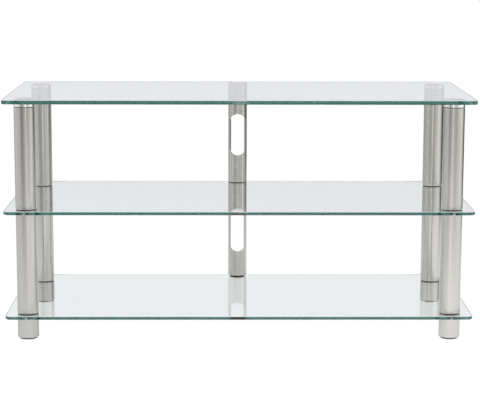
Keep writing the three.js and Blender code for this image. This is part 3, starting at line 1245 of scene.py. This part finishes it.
# %% Floor, white to the eye
FLOOR_HALF = 30.0
FLOOR_COLOUR = (0.86, 0.86, 0.86, 1)
FLOOR_SHARE = 0.86
FLOOR_LEVEL = 1.07
SHEET_EDGE = (1.9, 2.7)
SIDE_LEVELS = (0.08, 0.38)
SIDE_REACH = 0.55
AWAY_DROP = 0.42
POOL_LEVEL = 0.34
POOL_PLACE = (0.3, -1.15, 0)
POOL_REACH = 0.9


def floor_shading(finish, place):
    """What a mirrored ray sees on top of the floor's own level."""
    side = finish.spread(finish.part_of(place, "X"), *SIDE_LEVELS, start=-SIDE_REACH, end=SIDE_REACH)
    seen_from = finish.add("ShaderNodeNewGeometry").outputs["Incoming"]
    away = finish.spread(finish.part_of(seen_from, "Y"), AWAY_DROP, 0.0, start=-1.0, end=1.0)
    off = finish.add("ShaderNodeVectorMath", operation="DISTANCE")
    finish.join(place, off.inputs[0])
    off.inputs[1].default_value = POOL_PLACE
    pool = finish.spread(off.outputs["Value"], POOL_LEVEL, 0.0, start=0.0, end=POOL_REACH)
    return finish.maths("SUBTRACT", finish.maths("ADD", side, pool), away)


def floor_finish():
    """Past the sheet's edge a mirrored ray goes on to the screen, as if no floor were there."""
    finish = Finish("studio_floor")
    finish.tree.nodes.remove(finish.shader)
    matt = finish.add("ShaderNodeBsdfDiffuse")
    matt.inputs["Color"].default_value = FLOOR_COLOUR
    glow = finish.add("ShaderNodeEmission")
    clear = finish.add("ShaderNodeBsdfTransparent")
    place = finish.add("ShaderNodeTexCoord").outputs["Object"]
    path = finish.add("ShaderNodeLightPath")
    mirrored = mirrored_rays(finish, path)
    shading = finish.maths("MULTIPLY", floor_shading(finish, place), mirrored)
    finish.join(finish.maths("ADD", shading, FLOOR_LEVEL), glow.inputs["Strength"])
    seen = finish.maths("MAXIMUM", direct_rays(finish, path), mirrored)
    share = finish.maths("MULTIPLY", seen, FLOOR_SHARE)
    sheet = finish.shader_mix(share, matt.outputs["BSDF"], glow.outputs["Emission"])
    reach = finish.add("ShaderNodeVectorMath", operation="LENGTH")
    finish.join(place, reach.inputs[0])
    gone = finish.maths("MULTIPLY", finish.spread(reach.outputs["Value"], 0, 1, *SHEET_EDGE), mirrored)
    finish.join(finish.shader_mix(gone, sheet, clear.outputs["BSDF"]), finish.output.inputs["Surface"])
    return finish.material


floor_corners = [(x * FLOOR_HALF, y * FLOOR_HALF, 0) for x, y in ((-1, -1), (1, -1), (1, 1), (-1, 1))]
floor = studio_surface("studio_floor", floor_corners, [(0, 1, 2, 3)], floor_finish())
print("floor", 2 * FLOOR_HALF, "m, seen white")

# %% [markdown]
# ### The screen and the strip
#
# The levels of the screen run round it by the angle, 0 towards the camera and growing to
# the right. A row of real soft boxes would do the same, but each gap would have to be
# built, where a ramp needs only a list. The strip is a narrow, low light in front, which
# draws the one fine bright line down each leg.

# %% Helpers for lights that only show in mirrors
HIDDEN_FROM = ("camera", "diffuse", "transmission", "volume_scatter", "shadow")


def glowing(name):
    """A finish that only glows, and is no lamp to the rest of the scene."""
    finish = Finish(name)
    finish.tree.nodes.remove(finish.shader)
    glow = finish.add("ShaderNodeEmission")
    finish.join(glow.outputs["Emission"], finish.output.inputs["Surface"])
    finish.material.cycles.emission_sampling = "NONE"
    return finish, glow


def show_in_mirrors_only(surface):
    for kind in HIDDEN_FROM:
        setattr(surface, "visible_" + kind, False)


print("hidden from", len(HIDDEN_FROM), "kinds of rays")

# %% Curved screen with panels and gaps
SCREEN_RADIUS = 1.95
SCREEN_HEIGHT = 3.0
SCREEN_REACH = 140
SCREEN_STEP = 2
FULL_TURN = 360
WARM = (1.0, 0.99, 0.965)
PANELS = [
    (-140, 0.39), (-112, 0.75), (-95, 0.91), (-80, 0.80), (-65, 0.74), (-55, 0.71),
    (-45, 0.44), (-36, 0.21), (-28, 0.36), (-16, 0.48), (0, 0.67), (12, 0.61),
    (22, 0.54), (28, 0.47), (36, 0.54), (48, 0.80), (66, 0.99), (80, 1.15),
    (95, 0.74), (106, 0.35), (118, 0.03), (140, 0.10),
]


def screen_finish():
    finish, glow = glowing("studio_screen")
    place = finish.add("ShaderNodeTexCoord").outputs["Object"]
    towards_camera = finish.maths("MULTIPLY", finish.part_of(place, "Y"), -1.0)
    angle = finish.maths("ARCTAN2", finish.part_of(place, "X"), towards_camera)
    around = finish.maths("ADD", finish.maths("DIVIDE", angle, 2 * math.pi), 0.5)
    stops = [(turn / FULL_TURN + 0.5, level) for turn, level in PANELS]
    finish.join(finish.steps(around, stops, WARM), glow.inputs["Color"])
    return finish.material


turns = [math.radians(turn) for turn in range(-SCREEN_REACH, SCREEN_REACH + 1, SCREEN_STEP)]
posts = [(SCREEN_RADIUS * math.sin(turn), -SCREEN_RADIUS * math.cos(turn)) for turn in turns]
screen_points = [(x, y, z) for x, y in posts for z in (0.0, SCREEN_HEIGHT)]
screen_faces = [(2 * k, 2 * k + 2, 2 * k + 3, 2 * k + 1) for k in range(len(posts) - 1)]
screen = studio_surface("studio_screen", screen_points, screen_faces, screen_finish())
show_in_mirrors_only(screen)
print("screen radius", SCREEN_RADIUS, "m,", len(PANELS), "stops")

# %% Strip light, the narrow bright line down each leg
STRIP_PLACE = (0.02, -1.90)
STRIP_WIDTH = 0.05
STRIP_HEIGHT = 0.45
STRIP_LEVEL = 3.6


def strip_finish():
    finish, glow = glowing("studio_strip")
    glow.inputs["Strength"].default_value = STRIP_LEVEL
    return finish.material


strip_x, strip_y = STRIP_PLACE
strip_sides = (strip_x - STRIP_WIDTH / 2, strip_x + STRIP_WIDTH / 2)
strip_points = [(x, strip_y, z) for x in strip_sides for z in (0, STRIP_HEIGHT)]
strip = studio_surface("studio_strip", strip_points, [(0, 2, 3, 1)], strip_finish())
show_in_mirrors_only(strip)
print("strip", STRIP_WIDTH, "m wide")

# %% [markdown]
# ### The world
#
# Flat glass mirrors one small piece of the room: what lies behind the rack and a little
# above it. A low ramp by height draws the grey band that the photo shows on the shelves,
# and the part below the horizon tints the underside of a sheet.

# %% World, what the glass mirrors
COOL = (1.0, 0.985, 1.04)
BELOW = (0.50, 0.495, 0.48)
HORIZON = 0.04
SOFT_LIGHT = (0.75, 0.75, 0.75)
BACK_ABOVE = [
    (0.000, 0.75), (0.110, 0.75), (0.145, 0.57), (0.175, 0.57), (0.205, 0.61), (0.450, 0.75),
    (0.800, 0.95),
]

world = bpy.data.worlds.new("studio")
bpy.context.scene.world = world
world.use_nodes = True
world.cycles.sampling_method = "NONE"
room = Wiring(world.node_tree)
rise = room.part_of(room.add("ShaderNodeTexCoord").outputs["Generated"], "Z")
above = room.steps(rise, BACK_ABOVE, COOL)
backdrop = room.blend(room.spread(rise, 0, 1, start=0.0, end=HORIZON), BELOW, above)
ray = room.add("ShaderNodeLightPath")
even = room.blend(direct_rays(room, ray), SOFT_LIGHT, PLAIN_WHITE)
backing = world.node_tree.nodes["Background"]
room.join(room.blend(mirrored_rays(room, ray), even, backdrop), backing.inputs["Color"])
backing.inputs["Strength"].default_value = 1.0
print("world: white to the eye,", len(BACK_ABOVE), "levels to the glass")

# %% [markdown]
# ### How far light may travel
#
# A ray that enters a sheet by its front edge bounces eight or nine times between the two
# faces before it leaves by the back edge. Blender stops a mirrored ray after four bounces,
# which would leave black zigzags in the green edge, so the limits are raised.

# %% Bounce limits
travel = bpy.context.scene.cycles
travel.max_bounces = 28
travel.glossy_bounces = 20
travel.transmission_bounces = 20
travel.transparent_max_bounces = 24
print("mirrored bounces:", travel.glossy_bounces)

# %% [markdown]
# ### The key light
#
# One large soft light above and to the left lays a faint shadow under the rack, so that
# it stands on the sheet and doesn't float. Mirrors don't see it, because the screen
# already draws every line on the metal.

# %% Key light
KEY_SIZE = (2.4, 1.6)
KEY_ENERGY = 26
KEY_PLACE = (-0.6, -0.8, 3.0)
KEY_AIM = Vector((0, 0, 0.3))

key_light = bpy.data.lights.new("key", "AREA")
key_light.shape = "RECTANGLE"
key_light.size, key_light.size_y = KEY_SIZE
key_light.energy = KEY_ENERGY
key = new_piece("key", key_light)
key.location = KEY_PLACE
key.rotation_mode = "QUATERNION"
key.rotation_quaternion = (KEY_AIM - key.location).to_track_quat("-Z", "Y")
key.visible_glossy = False
print("studio ready, key light of", KEY_ENERGY, "W")

# %% [markdown]
# ## The camera
#
# A long lens from about four metres, a little above the rack: the place was fitted to the
# edges of the shelves and the ends of the tubes in the photo.

# %% Camera
LENS_PIXELS = 1650.8
FRAME_PIXELS = 480
SENSOR_WIDTH = 36
CAMERA_PLACE = (-0.0453, -4.0270, 0.9558)
YAW, PITCH_DOWN, ROLL = 0.700, 9.624, 0.142


def looking(*degrees):
    """A turn made of yaw to the right, pitch down, and roll."""
    yaw, dip, roll = (math.radians(angle) for angle in degrees)
    ahead = Vector((math.sin(yaw) * math.cos(dip), math.cos(yaw) * math.cos(dip), -math.sin(dip)))
    right = Vector((math.cos(yaw), -math.sin(yaw), 0))
    down = ahead.cross(right)
    across = right * math.cos(roll) - down * math.sin(roll)
    upward = -(right * math.sin(roll) + down * math.cos(roll))
    return Matrix((across, upward, -ahead)).transposed().to_4x4()


camera_data = bpy.data.cameras.new("camera")
camera_data.sensor_width = SENSOR_WIDTH
camera_data.lens = LENS_PIXELS * SENSOR_WIDTH / FRAME_PIXELS
camera = new_piece("camera", camera_data)
camera.matrix_world = Matrix.Translation(CAMERA_PLACE) @ looking(YAW, PITCH_DOWN, ROLL)
bpy.context.scene.camera = camera
bpy.context.scene.view_settings.view_transform = "Standard"
print("lens", round(camera_data.lens, 2), "mm")
